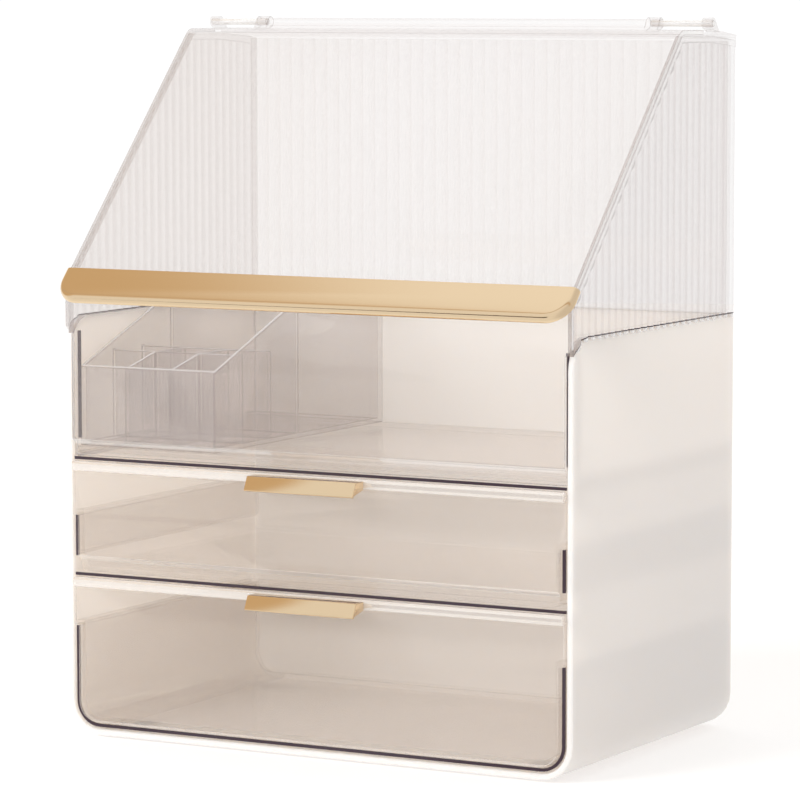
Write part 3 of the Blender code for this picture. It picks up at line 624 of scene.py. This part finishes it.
def side_section(y):
    """A side panel's outline across X and Z at a place along its depth."""
    out = flute(y, side_start, side_end)
    skin = flute_valley + FLUTE_HEIGHT * out
    foot = panel_foot(y)
    top = panel_top(y)
    ledge = min(skin, seat_x)
    proud = min(max((skin - seat_x) / (flute_crest - seat_x), 0), 1)
    tongue = foot - TONGUE * math.sqrt(proud)
    band = top - BAND_HEIGHT
    plain = half + SEAT_GAP / 2
    return [
        (hood_inner, foot), (hood_inner, top), (plain, top), (plain, band),
        (skin, band - SEAT_GAP), (skin, foot + SEAM_LINE), (skin, foot), (skin, tongue),
        (ledge, tongue), (ledge, foot),
    ]


for side_name, sign in (("left", -1), ("right", 1)):
    panel_bm = fluted(side_places, side_section, "Y")
    bmesh.ops.scale(panel_bm, verts=panel_bm.verts, vec=(sign, 1, 1))
    bmesh.ops.recalc_face_normals(panel_bm, faces=panel_bm.faces)
    for face in panel_bm.faces:
        middle = face.calc_center_median()
        foot = panel_foot(middle.y)
        in_skin = abs(middle.x) > (hood_inner + flute_valley) / 2 and abs(face.normal.x) > SKIN_FACING
        # Painted highlight on the tongues; painted shade along the seam, on the rims and front ends, and in
        # the grooves.
        if middle.z < foot - BELOW_SEAT:
            face.material_index = WHITE_SLOT
        elif in_skin and middle.z < foot + SEAM_LINE:
            face.material_index = SEAM_SLOT
        elif abs(face.normal.z) > RIM_FACING or face.normal.y < FRONT_FACING:
            face.material_index = EDGE_SLOT
        elif in_skin and middle.z < panel_top(middle.y) - BAND_HEIGHT:
            in_groove = flute(middle.y, side_start, side_end) < GROOVE_SHARE
            face.material_index = GROOVE_SLOT if in_groove else FLAT_SLOT
    node = f"hood_side_{side_name}"
    panel_set = [*clear_set, groove_shade, shade]
    show(f"{side_name}_fluted_panel", panel_bm, "case", "clear_plastic", panel_set, node)

REAR_CORNER = 0.0030
REAR_FLUTE_HEIGHT = 0.0011
rear_width = rear_high.x - rear_low.x
rear_steps = round(rear_width / FLUTE_PITCH) * FLUTE_STEPS
rear_places = [rear_low.x + rear_width * i / rear_steps for i in range(rear_steps + 1)]
rear_inner = rear - REAR_FLUTE_HEIGHT - (flute_valley - hood_inner)


def rear_section(x):
    """The rear panel's outline across Y and Z at a place along its width, thicker at its two ends."""
    skin = rear - REAR_FLUTE_HEIGHT * (1 - flute(x, rear_low.x, rear_high.x))
    from_end = min(x - rear_low.x, rear_high.x - x)
    inner = rear_inner - max(REAR_CORNER - from_end, 0)
    return [(inner, rear_low.z), (inner, rear_high.z), (skin, rear_high.z), (skin, rear_low.z)]


rear_bm = fluted(rear_places, rear_section, "X")
# Dark painted edge shade on the top and bottom rims.
for face in rear_bm.faces:
    if abs(face.normal.z) > FACES_UP:
        face.material_index = EDGE_SLOT
show("rear_fluted_panel", rear_bm, "case", "clear_plastic", clear_set, "hood_rear")

# Top strip, lid and hinge: the fixed strip behind the lid carries two ears, and a clear rod in each ear holds
# a knuckle of the lid. The lid is one bent sheet; its side edges along the slope and the jog at its foot carry
# a white painted highlight, and the rounded edges of strip, rods and lid carry dark painted edge shade.
LID_JOG_ALPHA = (0.25, 0.70)
ROD_EASE = 0.0003
SIDE_FACING = 0.8
JOG_SLOT = 3
lid_jog_highlight = moulding("clear_jog_highlight", CLEAR_HIGHLIGHT, CLEAR_HIGHLIGHT, CLEAR_EDGE_GLOSS, POLISH)
see_through(lid_jog_highlight, LID_JOG_ALPHA)
strip_bm = eased("hood_top", EDGE_EASE)
show("hood_top_strip", strip_bm, "case", "clear_plastic", clear_set, "hood_top")
# The rods are drawn in the white painted highlight colour, with dark painted edge shade on their rounds.
for side in ("left", "right"):
    node = f"hinge_pin_{side}"
    show(f"{side}_hinge_rod", eased(node, ROD_EASE), "case", "clear_plastic", [clear_highlight, clear_edge_shade], node)
lid_bm = eased("lid", EDGE_EASE)
# Painted highlight on the side edges along the slope and on the jog.
for face in lid_bm.faces:
    middle = face.calc_center_median()
    at_side = abs(face.normal.x) > SIDE_FACING and abs(middle.x) > hood_inner - SEAT_GAP
    if at_side and middle.z < lid_top - LID_SHEET:
        face.material_index = WHITE_SLOT
    elif slanted(face):
        face.material_index = JOG_SLOT
show("lid_sheet", lid_bm, "lid", "clear_plastic", [*clear_set, lid_jog_highlight], "lid")

# Lid grip and drawer handles: gold electroplate on plastic, mirror bright. The grip is a shallow pan over the
# lid's bend with round edges at the front and the ends; the handles are folded strips with wedge ends.
GOLD = (0.84, 0.655, 0.435)
GOLD_DEEP = (0.82, 0.635, 0.415)
GOLD_GLOSS = (0.09, 0.16)
GOLD_RELIEF = 0.000006
GRIP_WALL = 0.0011
GRIP_REACH = 0.0205
GRIP_RIM = 0.0042
GRIP_CORNER = 0.0135
GRIP_CORNER_STEPS = 14
GRIP_ROUND = 0.0034
GRIP_ROUND_STEPS = 8
OPEN_FACING = 0.9
GRIP_OVER_BEND = 0.0065
GRIP_STANDOFF = 0.0019
HANDLE_EASE = 0.00035
gold = moulding("gold_plate", GOLD, GOLD_DEEP, GOLD_GLOSS, GOLD_RELIEF)
gold.node_tree.nodes["Principled BSDF"].inputs["Metallic"].default_value = 1.0
grip_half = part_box("lid_grip")[1].x
grip_bm = bmesh.new()
bmesh.ops.create_cube(grip_bm, size=1)
bmesh.ops.translate(grip_bm, verts=grip_bm.verts, vec=(0, -0.5, -0.5))
bmesh.ops.scale(grip_bm, verts=grip_bm.verts, vec=(2 * grip_half, GRIP_REACH, GRIP_RIM))
upright = [
    e for e in grip_bm.edges
    if abs(e.verts[0].co.z - e.verts[1].co.z) > GRIP_RIM / 2 and e.verts[0].co.y < -GRIP_RIM
]
rounding = {"profile": 0.5, "affect": "EDGES", "material": -1}
bmesh.ops.bevel(grip_bm, geom=upright, offset=GRIP_CORNER, segments=GRIP_CORNER_STEPS, **rounding)
top_rim = [
    e for e in grip_bm.edges
    if all(v.co.z > -GRIP_RIM / 2 for v in e.verts) and any(v.co.y < -GRIP_ROUND / 4 for v in e.verts)
]
bmesh.ops.bevel(grip_bm, geom=top_rim, offset=GRIP_ROUND, segments=GRIP_ROUND_STEPS, **rounding)
open_sides = [f for f in grip_bm.faces if f.normal.z < -OPEN_FACING or f.normal.y > OPEN_FACING]
bmesh.ops.delete(grip_bm, geom=open_sides, context="FACES")
bmesh.ops.solidify(grip_bm, geom=list(grip_bm.faces), thickness=GRIP_WALL)
bmesh.ops.recalc_face_normals(grip_bm, faces=grip_bm.faces)
grip_top = Vector((bend_y, BEND_Z)) + slope * GRIP_OVER_BEND + slope_out * GRIP_STANDOFF
for vert in grip_bm.verts:
    place = grip_top + slope * vert.co.y + slope_out * vert.co.z
    vert.co = (vert.co.x, place.x, place.y)
show("lid_grip_pan", grip_bm, "lid", "gold_plating", [gold], "lid_grip")
for height in ("lower", "upper"):
    node = f"handle_{height}"
    strip_bm = eased(node, HANDLE_EASE)
    show(f"{height}_handle_strip", strip_bm, f"{height}_drawer", "gold_plating", [gold, gold], node)
